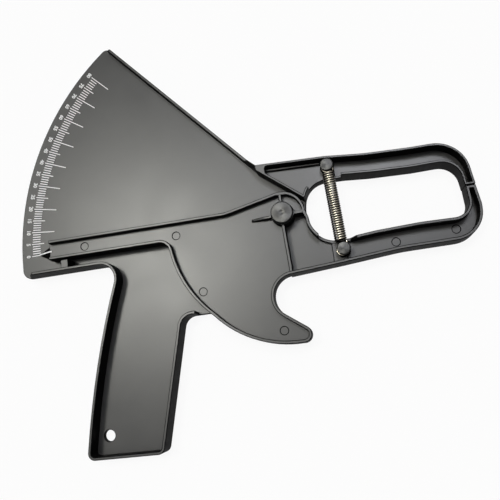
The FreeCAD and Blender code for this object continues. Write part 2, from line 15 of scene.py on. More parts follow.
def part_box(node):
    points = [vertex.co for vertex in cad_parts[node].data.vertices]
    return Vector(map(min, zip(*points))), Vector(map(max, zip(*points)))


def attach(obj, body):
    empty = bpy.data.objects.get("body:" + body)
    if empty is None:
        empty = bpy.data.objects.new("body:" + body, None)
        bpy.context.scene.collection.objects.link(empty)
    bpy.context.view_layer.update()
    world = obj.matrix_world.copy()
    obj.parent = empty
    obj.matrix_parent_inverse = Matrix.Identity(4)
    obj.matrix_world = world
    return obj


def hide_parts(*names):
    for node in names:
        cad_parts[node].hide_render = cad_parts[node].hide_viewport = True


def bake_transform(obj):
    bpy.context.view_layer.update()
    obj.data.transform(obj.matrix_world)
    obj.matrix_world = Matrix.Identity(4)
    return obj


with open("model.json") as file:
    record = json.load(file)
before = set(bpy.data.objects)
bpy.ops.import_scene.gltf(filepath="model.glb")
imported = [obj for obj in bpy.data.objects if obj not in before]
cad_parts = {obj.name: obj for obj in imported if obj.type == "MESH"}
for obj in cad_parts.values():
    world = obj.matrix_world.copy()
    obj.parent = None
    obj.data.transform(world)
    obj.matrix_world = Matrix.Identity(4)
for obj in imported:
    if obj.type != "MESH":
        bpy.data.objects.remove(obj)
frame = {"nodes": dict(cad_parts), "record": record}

LOG = logging.getLogger("caliper")
MM = 0.001
# Most values of a noise lie between these two.
NOISE_LOW, NOISE_HIGH = 0.3, 0.7
# Points round a turned piece, and round a wire.
RING_POINTS, WIRE_SIDES = 96, 12
# A pin is faced where its surface looks up by more than this; below it, its sides are painted
# shade.
FACED_RISE = 0.3


class Rider(Enum):
    """The bodies that a piece can ride on."""

    FRAME = "frame"
    LEVER = "lever"
    SPRING_UPPER = "spring_upper"
    SPRING_LOWER = "spring_lower"


class Slot(Enum):
    """The record's material slots."""

    BLACK_PLASTIC = "black_plastic"
    BLACK_PIN = "black_pin"
    DARK_WASHER = "dark_washer"
    SPRING_STEEL = "spring_steel"
    WHITE_INK = "white_ink"


# ---- materials ----
class ShaderSheet:
    """A material's node tree, with short ways to add and join nodes."""

    def __init__(self, name: str) -> None:
        """Starts a material with one Principled shader.

        Args:
            name: the material's name.
        """
        self.material = bpy.data.materials.new(name)
        self.material.use_nodes = True
        self.nodes = self.material.node_tree.nodes
        self.links = self.material.node_tree.links
        self.shader = self.nodes["Principled BSDF"]
        self.place = self.add("ShaderNodeTexCoord").outputs["Object"]

    def add(self, kind: str, **settings: object) -> bpy.types.Node:
        """Adds a node.

        Args:
            kind: the node's type.
            settings: properties set on the node.

        Returns:
            The new node.
        """
        node = self.nodes.new(kind)
        for key, value in settings.items():
            setattr(node, key, value)
        return node

    def stretched(self, scale: tuple) -> bpy.types.NodeSocket:
        """Object coordinates scaled for a drawn-out pattern.

        Args:
            scale: factor along each axis.

        Returns:
            The new coordinates.
        """
        node = self.add("ShaderNodeMapping", vector_type="TEXTURE")
        node.inputs["Scale"].default_value = scale
        self.links.new(self.place, node.inputs["Vector"])
        return node.outputs["Vector"]

    def noise(
        self, scale: float, detail: float = 3.0, place: bpy.types.NodeSocket | None = None
    ) -> bpy.types.NodeSocket:
        """Noise in the object's own metres.

        Args:
            scale: lumps per metre.
            detail: octaves of finer noise.
            place: coordinates, or None for the object's own.

        Returns:
            The noise value, 0 to 1.
        """
        node = self.add("ShaderNodeTexNoise")
        node.inputs["Scale"].default_value = scale
        node.inputs["Detail"].default_value = detail
        self.links.new(place or self.place, node.inputs["Vector"])
        return node.outputs["Fac"]

    def spread(self, value: bpy.types.NodeSocket, low: float, high: float) -> bpy.types.NodeSocket:
        """Maps the middle of a noise to a range.

        Args:
            value: the noise.
            low: result at NOISE_LOW.
            high: result at NOISE_HIGH.

        Returns:
            The mapped value.
        """
        node = self.add("ShaderNodeMapRange")
        ranges = {"From Min": NOISE_LOW, "From Max": NOISE_HIGH, "To Min": low, "To Max": high}
        for socket, number in ranges.items():
            node.inputs[socket].default_value = number
        self.links.new(value, node.inputs["Value"])
        return node.outputs["Result"]

    def tint(self, value: bpy.types.NodeSocket, dark: tuple, light: tuple) -> bpy.types.NodeSocket:
        """Mixes two colours by a value.

        Args:
            value: 0 gives the dark colour and 1 the light one.
            dark: linear colour.
            light: linear colour.

        Returns:
            The mixed colour.
        """
        node = self.add("ShaderNodeMix", data_type="RGBA")
        # Sockets 6 and 7 are the two colours, and output 2 is the mixed one.
        node.inputs[6].default_value = (*dark, 1.0)
        node.inputs[7].default_value = (*light, 1.0)
        self.links.new(value, node.inputs[0])
        return node.outputs[2]

    def bump(self, height: bpy.types.NodeSocket, depth: float, strength: float) -> None:
        """Lets a height disturb the surface.

        Args:
            height: the height, 0 to 1.
            depth: metres that a height of 1 stands for.
            strength: share of the effect.
        """
        node = self.add("ShaderNodeBump")
        node.inputs["Distance"].default_value = depth
        node.inputs["Strength"].default_value = strength
        self.links.new(height, node.inputs["Height"])
        self.links.new(node.outputs["Normal"], self.shader.inputs["Normal"])

    def feed(self, socket: str, value: object) -> None:
        """Sets or joins one of the shader's sockets.

        Args:
            socket: the socket's name.
            value: a number, a colour or another node's socket.
        """
        if isinstance(value, bpy.types.NodeSocket):
            self.links.new(value, self.shader.inputs[socket])
        else:
            self.shader.inputs[socket].default_value = value


@dataclass(frozen=True)
class Finish:
    """What every finish has: a name, two colours, and one roughness or one for each colour."""

    name: str
    dark: tuple
    light: tuple
    roughness: tuple | float

    def material(self) -> bpy.types.Material:
        """Builds the material.

        Returns:
            The new material.
        """
        sheet = ShaderSheet(self.name)
        self.lay(sheet)
        return sheet.material

    def colour(self, sheet: ShaderSheet, pattern: bpy.types.NodeSocket) -> None:
        """Lets a noise vary the colour from the dark to the light one."""
        sheet.feed("Base Color", sheet.tint(sheet.spread(pattern, 0.0, 1.0), self.dark, self.light))

    def mottle(self, sheet: ShaderSheet, pattern: bpy.types.NodeSocket) -> None:
        """Lets a noise vary the colour and the roughness together."""
        self.colour(sheet, pattern)
        sheet.feed("Roughness", sheet.spread(pattern, *self.roughness))

    def lay(self, sheet: ShaderSheet) -> None:
        """Sets up the shader, which each finish does in its own way."""
        raise NotImplementedError


@dataclass(frozen=True)
class MouldedPlastic(Finish):
    """Satin black moulding: fine spark texture under a faintly cloudy sheen."""

    name: str = "satin_black_plastic"
    dark: tuple = (0.036, 0.036, 0.036)
    light: tuple = (0.045, 0.045, 0.044)
    roughness: tuple = (0.285, 0.325)
    grain: float = 2600.0
    grain_depth: float = 0.02 * MM
    grain_strength: float = 0.5
    cloud: float = 45.0

    def lay(self, sheet: ShaderSheet) -> None:
        """Lays faint clouds and a fine grain."""
        self.mottle(sheet, sheet.noise(self.cloud, detail=5.0))
        sheet.bump(sheet.noise(self.grain, detail=2.0), self.grain_depth, self.grain_strength)


@dataclass(frozen=True)
class MouldedSidewall(Finish):
    """Matte side walls and rounded edges of the mouldings, drawn off the tool with fine upright
    drag marks, and coloured much darker than the tops as painted shade.
    """

    name: str = "black_wall_painted_shade"
    # Same plastic as the tops; these darker colours are painted shade.
    dark: tuple = (0.005, 0.005, 0.005)
    light: tuple = (0.009, 0.009, 0.009)
    roughness: tuple = (0.46, 0.56)
    gloss: float = 0.015
    drag: float = 500.0
    stretch: tuple = (1.0, 1.0, 12.0)

    def lay(self, sheet: ShaderSheet) -> None:
        """Lays drawn-out marks with hardly any gloss."""
        self.mottle(sheet, sheet.noise(self.drag, detail=4.0, place=sheet.stretched(self.stretch)))
        sheet.feed("Specular IOR Level", self.gloss)


@dataclass(frozen=True)
class PrintedInk(Finish):
    """White printing ink with a slightly uneven cover."""

    name: str = "white_ink"
    dark: tuple = (0.853, 0.853, 0.853)
    light: tuple = (0.93, 0.93, 0.93)
    roughness: float = 0.55
    speckle: float = 1500.0

    def lay(self, sheet: ShaderSheet) -> None:
        """Lays a faint speckle."""
        self.colour(sheet, sheet.noise(self.speckle))
        sheet.feed("Roughness", self.roughness)


@dataclass(frozen=True)
class NaturalNylon(Finish):
    """Milky nylon of the hidden thrust washer."""

    name: str = "natural_nylon"
    dark: tuple = (0.55, 0.53, 0.47)
    light: tuple = (0.72, 0.70, 0.64)
    roughness: float = 0.45
    cloud: float = 400.0

    def lay(self, sheet: ShaderSheet) -> None:
        """Lays milky clouds."""
        self.colour(sheet, sheet.noise(self.cloud))
        sheet.feed("Roughness", self.roughness)


@dataclass(frozen=True)
class BlackCoat(Finish):
    """Black oxide on the turned sides of the pin and the posts, darkened further as painted shade.
    """

    name: str = "black_oxide_sides_painted_shade"
    # Far darker than the faced tops: painted shade on the sides.
    dark: tuple = (0.008, 0.008, 0.008)
    light: tuple = (0.016, 0.016, 0.016)
    roughness: tuple = (0.42, 0.52)
    gloss: float = 0.15
    wear: float = 700.0

    def lay(self, sheet: ShaderSheet) -> None:
        """Lays a light wear with little gloss."""
        self.mottle(sheet, sheet.noise(self.wear, detail=4.0))
        sheet.feed("Specular IOR Level", self.gloss)


@dataclass(frozen=True)
class FacedMetal(Finish):
    """Dark metal faced on a lathe: fine rings that draw the light out into a bow tie."""

    name: str = "faced_dark_metal"
    dark: tuple = (0.046, 0.046, 0.045)
    light: tuple = (0.078, 0.078, 0.076)
    roughness: tuple = (0.34, 0.44)
    anisotropy: float = 0.75
    wear: float = 500.0

    def lay(self, sheet: ShaderSheet) -> None:
        """Lays bare metal whose sheen follows rings round the upright axis.

        Args:
            sheet: the material's nodes.
        """
        self.mottle(sheet, sheet.noise(self.wear, detail=4.0))
        sheet.feed("Metallic", 1.0)
        sheet.feed("Anisotropic", self.anisotropy)
        rings = sheet.add("ShaderNodeTangent", direction_type="RADIAL", axis="Z")
        sheet.feed("Tangent", rings.outputs["Tangent"])


@dataclass(frozen=True)
class SpringWire(Finish):
    """Drawn steel wire with a painted highlight where each turn faces up or down, away from the
    coil's middle, and painted shade on its flanks.
    """

    name: str = "drawn_spring_wire"
    # The dark colour is painted shade and the light one a painted highlight.
    dark: tuple = (0.014, 0.010, 0.006)
    light: tuple = (0.95, 0.88, 0.72)
    roughness: tuple = (0.28, 0.38)
    # Mask values where the painted shade ends and the painted highlight is full.
    oil_end: float = 0.5
    rubbed_start: float = 0.92
    grain: float = 1500.0

    def lay(self, sheet: ShaderSheet) -> None:
        """Lays metal coloured by a mask attribute that is 1 where a turn faces up or down most: a
        painted highlight there, fading to painted shade where the mask falls.

        Args:
            sheet: the material's nodes.
        """
        painted_light = sheet.add("ShaderNodeAttribute", attribute_name="painted_light").outputs["Fac"]
        ramp = sheet.add("ShaderNodeMapRange", interpolation_type="SMOOTHSTEP")
        ramp.inputs["From Min"].default_value = self.oil_end
        ramp.inputs["From Max"].default_value = self.rubbed_start
        sheet.links.new(painted_light, ramp.inputs["Value"])
        sheet.feed("Base Color", sheet.tint(ramp.outputs["Result"], self.dark, self.light))
        sheet.feed("Metallic", 1.0)
        sheet.feed("Roughness", sheet.spread(sheet.noise(self.grain), *self.roughness))


@dataclass(frozen=True)
class Metal(Finish):
    """Turned or stamped metal with an even mottle and the finest of scratches."""

    scale: float = 900.0
    scratch_depth: float = 0.001 * MM
    scratch_strength: float = 0.6

    def lay(self, sheet: ShaderSheet) -> None:
        """Lays bare metal whose mottle also disturbs the surface.

        Args:
            sheet: the material's nodes.
        """
        pattern = sheet.noise(self.scale, detail=4.0)
        self.mottle(sheet, pattern)
        sheet.feed("Metallic", 1.0)
        sheet.bump(pattern, self.scratch_depth, self.scratch_strength)


@dataclass
class Finishes:
    """The material of each finish."""

    plastic: bpy.types.Material
    sidewall: bpy.types.Material
    ink: bpy.types.Material
    nylon: bpy.types.Material
    coat: bpy.types.Material
    faced: bpy.types.Material
    washer: bpy.types.Material
    steel: bpy.types.Material
    spring: bpy.types.Material

    @classmethod
    def mixed(cls) -> "Finishes":
        """Builds every finish of the caliper.

        Returns:
            The finishes.
        """
        oxide = Metal("black_oxide", (0.02, 0.02, 0.02), (0.045, 0.043, 0.04), (0.4, 0.55))
        stamped = Metal("stamped_spring_steel", (0.30, 0.29, 0.27), (0.45, 0.43, 0.40), (0.3, 0.42))
        return cls(
            plastic=MouldedPlastic().material(),
            sidewall=MouldedSidewall().material(),
            ink=PrintedInk().material(),
            nylon=NaturalNylon().material(),
            coat=BlackCoat().material(),
            faced=FacedMetal().material(),
            washer=oxide.material(),
            steel=stamped.material(),
            spring=SpringWire().material(),
        )


# ---- surfaces ----
def grid_quads(rows: int, columns: int, rows_closed: bool) -> np.ndarray:
    """Quads between neighbours on a grid of points whose columns run round in a ring.

    Args:
        rows: number of rows.
        columns: number of points in each ring.
        rows_closed: whether the last row joins the first.

    Returns:
        Point numbers, one row of four for each quad.
    """
    first_rows = np.arange(rows if rows_closed else rows - 1)
    row, column = np.meshgrid(first_rows, np.arange(columns), indexing="ij")
    below, beside = (row + 1) % rows, (column + 1) % columns
    corners = [
        row * columns + column, row * columns + beside,
        below * columns + beside, below * columns + column,
    ]
    return np.stack(corners, axis=-1).reshape(-1, 4)


def add_object(name: str, data: bpy.types.ID) -> bpy.types.Object:
    """Puts an object into the scene.

    Args:
        name: its name.
        data: its mesh, curve, camera or light.

    Returns:
        The new object.
    """
    item = bpy.data.objects.new(name, data)
    bpy.context.scene.collection.objects.link(item)
    return item


def add_piece(
    name: str, points: np.ndarray, faces: list, material: bpy.types.Material,
    sharp: float = 35.0,
) -> bpy.types.Object:
    """Makes a smooth-shaded mesh object at the origin.

    Args:
        name: the piece's name.
        points: corners in millimetres.
        faces: point numbers of each face.
        material: its finish.
        sharp: edges that turn by more degrees than this stay crisp.

    Returns:
        The new object.
    """
    mesh = bpy.data.meshes.new(name)
    mesh.from_pydata((points * MM).tolist(), [], faces)
    mesh.polygons.foreach_set("use_smooth", np.ones(len(mesh.polygons), dtype=bool))
    mesh.set_sharp_from_angle(angle=math.radians(sharp))
    mesh.materials.append(material)
    piece = add_object(name, mesh)
    LOG.info("%s: %d faces", name, len(mesh.polygons))
    return piece


def rounded_profile(corners: list, steps: int = 4) -> np.ndarray:
    """Profile whose corners are eased: each becomes a quadratic curve from a point short of it
    on one side to a point short of it on the other.

    Args:
        corners: (radius, height, ease) in millimetres, where ease is how far short.
        steps: points on each curve.

    Returns:
        Points (radius, height).
    """
    places = np.array([corner[:2] for corner in corners], dtype=float)
    share = np.linspace(0.0, 1.0, steps)[:, None]
    runs = []
    for number, (radius, height, ease) in enumerate(corners):
        here = places[number]
        if ease == 0:
            runs.append(here[None, :])
            continue
        back = places[number - 1] - here
        ahead = places[(number + 1) % len(corners)] - here
        first = here + back / np.linalg.norm(back) * ease
        last = here + ahead / np.linalg.norm(ahead) * ease
        runs.append((1 - share) ** 2 * first + 2 * share * (1 - share) * here + share**2 * last)
    return np.concatenate(runs)


def turned_points(profile: np.ndarray, centre: tuple) -> np.ndarray:
    """Carries a profile round an upright axis: x = cx + r cos a, y = cy + r sin a.

    Args:
        profile: points (radius, height).
        centre: the axis, x and y in millimetres.

    Returns:
        Points, ring after ring.
    """
    angle = np.linspace(0.0, 2 * np.pi, RING_POINTS, endpoint=False)
    radius, height = profile[:, :1], profile[:, 1:]
    x = centre[0] + radius * np.cos(angle)
    y = centre[1] + radius * np.sin(angle)
    return np.stack([x, y, np.broadcast_to(height, x.shape)], axis=-1).reshape(-1, 3)


def headed_pin(name: str, corners: list, centre: tuple, finishes: Finishes) -> bpy.types.Object:
    """Turned pin whose profile runs from the axis at the bottom to the axis at the top. Its
    sides take a dark finish of painted shade and the faces that look up are bare.

    Args:
        name: the piece's name.
        corners: (radius, height, ease) from the lowest point on the axis outwards and up.
        centre: the axis, x and y.
        finishes: the finishes of its sides and of its faced top.

    Returns:
        The new object.
    """
    profile = rounded_profile(corners)[1:-1]
    rings = turned_points(profile, centre)
    poles = np.array([[*centre, corners[0][1]], [*centre, corners[-1][1]]], dtype=float)
    first, last = len(rings), len(rings) + 1
    column = np.arange(RING_POINTS)
    beside = (column + 1) % RING_POINTS
    top = (len(profile) - 1) * RING_POINTS
    faces = grid_quads(len(profile), RING_POINTS, False).tolist()
    faces += np.stack([np.full(RING_POINTS, first), beside, column], -1).tolist()
    faces += np.stack([np.full(RING_POINTS, last), top + column, top + beside], -1).tolist()
    pin = add_piece(name, np.concatenate([rings, poles]), faces, finishes.coat)
    pin.data.materials.append(finishes.faced)
    normals = np.empty(len(pin.data.polygons) * 3)
    pin.data.polygons.foreach_get("normal", normals)
    pin.data.polygons.foreach_set("material_index", (normals[2::3] > FACED_RISE).astype(np.int32))
    return pin


def turned_ring(
    name: str, corners: list, centre: tuple, material: bpy.types.Material
) -> bpy.types.Object:
    """Turned ring whose profile closes on itself: inner foot, outer foot, outer top, inner top.

    Args:
        name: the piece's name.
        corners: (radius, height, ease) in that order.
        centre: the axis, x and y.
        material: its finish.

    Returns:
        The new object.
    """
    profile = rounded_profile(corners)
    faces = grid_quads(len(profile), RING_POINTS, True).tolist()
    return add_piece(name, turned_points(profile, centre), faces, material)


def wire(
    name: str, path: np.ndarray, outward: np.ndarray, radius: float, middle: float,
    material: bpy.types.Material,
) -> bpy.types.Object:
    """Round wire: at each point of a path a ring p + radius (cos a * outward + sin a * across),
    where across stands square on the path and on outward. Both ends are closed with a flat face.
    Its point attribute is the upright share of the surface's direction where it faces away from
    the path's middle height, and 0 where it faces back; it is the mask of a painted highlight.

    Args:
        name: the piece's name.
        path: points in millimetres.
        outward: unit vectors square on the path, one for each point.
        radius: the wire's radius.
        middle: the middle height of the whole coil.
        material: its finish.

    Returns:
        The new object.
    """
    along = np.gradient(path, axis=0)
    along /= np.linalg.norm(along, axis=1, keepdims=True)
    across = np.cross(along, outward)
    across /= np.linalg.norm(across, axis=1, keepdims=True)
    angle = np.linspace(0.0, 2 * np.pi, WIRE_SIDES, endpoint=False)[None, :, None]
    facing = np.cos(angle) * outward[:, None] + np.sin(angle) * across[:, None]
    rings = path[:, None] + radius * facing
    faces = grid_quads(len(path), WIRE_SIDES, False).tolist()
    faces.append(list(range(WIRE_SIDES - 1, -1, -1)))
    faces.append(list(range((len(path) - 1) * WIRE_SIDES, len(path) * WIRE_SIDES)))
    piece = add_piece(name, rings.reshape(-1, 3), faces, material, sharp=50.0)
    # Mask of the painted highlight: 1 where the wire faces straight up or down, away from the
    # coil's middle.
    painted_light = piece.data.attributes.new("painted_light", "FLOAT", "POINT")
    away = np.sign(rings[..., 2] - middle)
    values = np.clip(facing[..., 2] * away, 0.0, 1.0).astype(np.float32)
    painted_light.data.foreach_set("value", values.ravel())
    return piece


def node_centre(node: str) -> tuple:
    """Centre of a solid in plan, x and y in millimetres."""
    low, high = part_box(node)
    return ((low.x + high.x) / 2 / MM, (low.y + high.y) / 2 / MM)


def node_heights(node: str) -> tuple:
    """Lowest and highest z of a solid, in millimetres."""
    low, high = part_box(node)
    return (low.z / MM, high.z / MM)


# ---- mouldings ----
@dataclass
class Mouldings:
    """The frame and the lever with moulded, softly rounded edges. Lengths are in millimetres.

    Attributes:
        round_edge: how far a rounding reaches from its edge.
        wall_slope: faces whose normal's z is below this are side walls, in painted shade.
        merge: corners nearer than this are one.
        flat_deg: faces that turn by less than this are joined.
        edge_deg: edges that turn by more than this are rounded.
        shade_deg: edges that turn by more than this look crisp.
        shallow: walls lower than this carry no rounding.
        fold_deg: edges that turn by more than this are folds.
        level: faces whose normal's z is above this are shaded flat.
        upright: faces whose normal's z is below this are walls.
        flatness: faces whose normal's z is above this are floors or tops.
        mark_reach: radius of a round mark.
        mark_play: how far a mark's corners may be off that radius.
        mark_slope: how far the foot of a mark's wall is drawn in.
    """

    round_edge: float = 0.42
    wall_slope: float = 0.935
    merge: float = 0.002
    flat_deg: float = 0.3
    edge_deg: float = 35.0
    shade_deg: float = 50.0
    shallow: float = 1.0
    fold_deg: float = 150.0
    level: float = 0.9995
    upright: float = 0.2
    flatness: float = 0.9
    mark_reach: float = 2.6
    mark_play: float = 0.05
    mark_slope: float = 0.5

    def is_low_step(self, face: bmesh.types.BMFace) -> bool:
        """True for an upright face too low to carry a rounded edge, such as a shallow mark's."""
        heights = [corner.co.z for corner in face.verts]
        return abs(face.normal.z) < self.upright and max(heights) - min(heights) < self.shallow * MM

    def close_folds(self, work: bmesh.types.BMesh) -> None:
        """Welds the crease of each hair-thin fold onto the fold's tip, so that the outline runs on.

        Args:
            work: the mesh being worked on.
        """
        limit = math.radians(self.fold_deg)
        folds = [edge for edge in work.edges if edge.calc_face_angle(0.0) > limit]
        tips = {corner for edge in folds if edge.is_convex for corner in edge.verts}
        creases = {corner for edge in folds if not edge.is_convex for corner in edge.verts}
        targets = {
            corner: side.other_vert(corner)
            for corner in creases - tips
            for side in corner.link_edges
            if side.other_vert(corner) in tips
        }
        bmesh.ops.weld_verts(work, targetmap=targets)

    def lean_marks(self, work: bmesh.types.BMesh) -> None:
        """Leans the low wall of each shallow round mark inwards: its floor's rim is drawn towards
        the middle, which leaves a narrow ring of wall that is dark with painted shade.

        Args:
            work: the mesh being worked on.
        """
        shrink = 1.0 - self.mark_slope / self.mark_reach
        for floor in work.faces:
            middle = floor.calc_center_median()
            reach = [(corner.co - middle).length / MM - self.mark_reach for corner in floor.verts]
            if floor.normal.z < self.flatness or max(map(abs, reach)) > self.mark_play:
                continue
            for corner in floor.verts:
                corner.co = middle + (corner.co - middle) * shrink
        work.normal_update()

    def takes_round(self, edge: bmesh.types.BMEdge, uprights: bool) -> bool:
        """Whether an edge gets a rounding.

        Args:
            edge: the edge.
            uprights: whether edges between two walls get one too.

        Returns:
            True for an outward corner between faces that are tall enough.
        """
        if not edge.is_convex or edge.calc_face_angle(0.0) < math.radians(self.edge_deg):
            return False
        if any(self.is_low_step(face) for face in edge.link_faces):
            return False
        return uprights or max(abs(face.normal.z) for face in edge.link_faces) > self.flatness

    def rounded(
        self, node: str, name: str, body: Rider, finishes: Finishes, uprights: bool
    ) -> None:
        """Copies a moulding's solid, joins its loose triangles and rounds its outward edges.

        Args:
            node: the solid's node.
            name: the new piece's name.
            body: what it rides on.
            finishes: the finishes of its faces and the painted shade of its walls and edges.
            uprights: whether edges between two walls are rounded too.
        """
        work = bmesh.new()
        work.from_mesh(frame["nodes"][node].data)
        bmesh.ops.remove_doubles(work, verts=work.verts, dist=self.merge * MM)
        flat = math.radians(self.flat_deg)
        bmesh.ops.dissolve_limit(work, angle_limit=flat, verts=work.verts, edges=work.edges)
        self.close_folds(work)
        self.lean_marks(work)
        edges = [edge for edge in work.edges if self.takes_round(edge, uprights)]
        bmesh.ops.bevel(
            work, geom=edges, offset=self.round_edge * MM, offset_type="OFFSET", segments=2,
            profile=0.5, affect="EDGES", clamp_overlap=False, loop_slide=True,
        )
        # Walls and the faces of the rounded edges take the second material, which is painted shade.
        for face in work.faces:
            face.material_index = int(abs(face.normal.z) < self.wall_slope)
        mesh = bpy.data.meshes.new(name)
        work.to_mesh(mesh)
        work.free()
        mesh.set_sharp_from_angle(angle=math.radians(self.shade_deg))
        normals = np.empty(3 * len(mesh.polygons))
        mesh.polygons.foreach_get("normal", normals)
        mesh.polygons.foreach_set("use_smooth", np.abs(normals[2::3]) < self.level)
        for material in (finishes.plastic, finishes.sidewall):
            mesh.materials.append(material)
        piece = add_object(name, mesh)
        weighted = piece.modifiers.new("flat_faces_stay_flat", "WEIGHTED_NORMAL")
        weighted.weight = 100
        weighted.keep_sharp = True
        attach(piece, body.value)
        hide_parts(node)
        LOG.info("%s: %d faces", name, len(mesh.polygons))

    def build(self, finishes: Finishes) -> None:
        """Builds both mouldings; the frame's upright edges are rounded too."""
        self.rounded("frame_moulding", "frame_shell", Rider.FRAME, finishes, uprights=True)
        self.rounded("lever_moulding", "lever_shell", Rider.LEVER, finishes, uprights=False)


# ---- scale ----
@dataclass
class Scale:
    """Printed marks and the plain numerals beside every fifth one. Lengths are in millimetres."""

    jaw_radius: float = 104.2
    zero_deg: float = 179.6
    last: int = 80
    step: int = 5
    numeral_radius: float = 158.9
    numeral_height: float = 2.7
    numeral_narrow: float = 0.9
    plate_top: float = 3.2
    ink: float = 0.05
    boldness: float = 0.045
    merge: float = 0.0005

    def direction(self, opening: float) -> float:
        """Angle of the mark for a jaw opening, from the chord at the jaws' radius."""
        return math.radians(self.zero_deg) - 2 * math.asin(opening / (2 * self.jaw_radius))

    def glyphs(self, text: str) -> bpy.types.Mesh:
        """Flat mesh of a number, about one unit high.

        Args:
            text: the number.

        Returns:
            The mesh.
        """
        curve = bpy.data.curves.new("numeral", "FONT")
        curve.body = text
        curve.align_x = "CENTER"
        curve.resolution_u = 3
        curve.offset = self.boldness
        letter = add_object("numeral", curve)
        bpy.context.view_layer.update()
        shaped = letter.evaluated_get(bpy.context.evaluated_depsgraph_get())
        mesh = bpy.data.meshes.new_from_object(shaped)
        bpy.data.objects.remove(letter)
        bpy.data.curves.remove(curve)
        return mesh

    def numerals(self, material: bpy.types.Material) -> None:
        """Prints all numbers: the tops of the figures point at the pivot.

        Args:
            material: the ink.
        """
        work = bmesh.new()
        for opening in range(0, self.last + 1, self.step):
            mesh = self.glyphs(str(opening))
            corners = np.empty(len(mesh.vertices) * 3)
            mesh.vertices.foreach_get("co", corners)
            bottom, top = corners[1::3].min(), corners[1::3].max()
            size = self.numeral_height * MM / (top - bottom)
            middle = (top + bottom) / 2
            turn = Matrix.Rotation(self.direction(opening) + math.pi / 2, 4, "Z")
            reach = Matrix.Translation((0.0, -self.numeral_radius * MM, self.plate_top * MM))
            grow = Matrix.Diagonal((size * self.numeral_narrow, size, 1.0, 1.0))
            mesh.transform(turn @ reach @ grow @ Matrix.Translation((0.0, -middle, 0.0)))
            work.from_mesh(mesh)
            bpy.data.meshes.remove(mesh)
        bmesh.ops.remove_doubles(work, verts=work.verts, dist=self.merge * MM)
        shape = bmesh.ops.extrude_face_region(work, geom=work.faces[:])
        raised = [item for item in shape["geom"] if isinstance(item, bmesh.types.BMVert)]
        bmesh.ops.translate(work, verts=raised, vec=(0.0, 0.0, self.ink * MM))
        bmesh.ops.recalc_face_normals(work, faces=work.faces)
        result = bpy.data.meshes.new("scale_numerals")
        work.to_mesh(result)
        work.free()
        result.materials.append(material)
        piece = add_object("scale_numerals", result)
        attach(piece, Rider.FRAME.value)
        LOG.info("scale_numerals: %d faces", len(result.polygons))

    def build(self, finishes: Finishes) -> None:
        """Dresses the printed marks and adds the numerals."""
        for node in ("scale_graduations", "pointer_line"):
            dress(node, finishes.ink)
        self.numerals(finishes.ink)


def dress(node: str, material: bpy.types.Material) -> None:
    """Gives a kept solid its material.

    Args:
        node: the solid's node.
        material: its finish.
    """
    mesh = frame["nodes"][node].data
    mesh.materials.clear()
    mesh.materials.append(material)


# ---- pivot ----
@dataclass
class Pivot:
    """Pin with a bevelled, dimpled head, its washers and the push nut at the back. The dimple's
    wall ends at dimple_floor of its radius and dimple_wall of its depth."""

    shank_radius: float = 3.0
    head_radius: float = 6.25
    head_height: float = 3.0
    bevel: float = 0.35
    dimple_radius: float = 1.5
    dimple_depth: float = 0.18
    dimple_floor: float = 0.45
    dimple_wall: float = 0.8

    def build(self, finishes: Finishes) -> None:
        """Builds the pin and dresses the washers and the nut.

        Args:
            finishes: the finishes of all four.
        """
        low, high = node_heights("pivot_pin")
        seat = high - self.head_height
        floor_radius = self.dimple_radius * self.dimple_floor
        corners = [
            (0.0, low, 0.0), (self.shank_radius, low, 0.2), (self.shank_radius, seat, 0.0),
            (self.head_radius, seat, 0.15), (self.head_radius, high - self.bevel, 0.25),
            (self.head_radius - self.bevel, high, 0.25), (self.dimple_radius, high, 0.5),
            (floor_radius, high - self.dimple_depth * self.dimple_wall, 0.35),
            (0.0, high - self.dimple_depth, 0.0),
        ]
        pin = headed_pin("pivot_pin_turned", corners, (0.0, 0.0), finishes)
        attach(pin, Rider.FRAME.value)
        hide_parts("pivot_pin")
        dress("pivot_front_washer", finishes.washer)
        dress("pivot_thrust_washer", finishes.nylon)
        dress("pivot_push_nut", finishes.steel)


# ---- spring posts ----
@dataclass
class SpringPosts:
    """Headed pins that hold the spring, and the rings that its loops rest on. A head's top rises
    by head_rise from its bevel to its middle."""

    neck_radius: float = 1.4
    head_radius: float = 3.8
    head_height: float = 1.8
    head_bevel: float = 0.35
    head_rise: float = 0.08

    def post(self, node: str, body: Rider, finishes: Finishes) -> None:
        """Builds one headed pin.

        Args:
            node: the solid that it stands for.
            body: what it rides on.
            finishes: the finishes of its sides and top.
        """
        low, high = node_heights(node)
        seat = high - self.head_height
        corners = [
            (0.0, low, 0.0), (self.neck_radius, low, 0.2), (self.neck_radius, seat, 0.0),
            (self.head_radius, seat, 0.12), (self.head_radius, high - self.head_bevel, 0.25),
            (self.head_radius - self.head_bevel, high - self.head_rise, 0.3), (0.0, high, 0.0),
        ]
        post = headed_pin(node + "_turned", corners, node_centre(node), finishes)
        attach(post, body.value)
        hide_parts(node)

    def collar(self, node: str, body: Rider, material: bpy.types.Material) -> None:
        """Builds one ring under a loop.

        Args:
            node: the solid that it stands for.
            body: what it rides on.
            material: its finish.
        """
        low, high = node_heights(node)
        box_low, box_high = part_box(node)
        outer = (box_high.x - box_low.x) / 2 / MM
        corners = [
            (self.neck_radius, low, 0.0), (outer, low, 0.15),
            (outer, high, 0.2), (self.neck_radius, high, 0.1),
        ]
        ring = turned_ring(node + "_turned", corners, node_centre(node), material)
        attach(ring, body.value)
        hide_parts(node)

    def build(self, finishes: Finishes) -> None:
        """Builds both posts and both rings.

        Args:
            finishes: the finishes of the posts and the rings.
        """
        self.post("upper_spring_post", Rider.FRAME, finishes)
        self.post("lower_spring_post", Rider.LEVER, finishes)
        self.collar("upper_post_collar", Rider.FRAME, finishes.washer)
        self.collar("lower_post_collar", Rider.LEVER, finishes.washer)


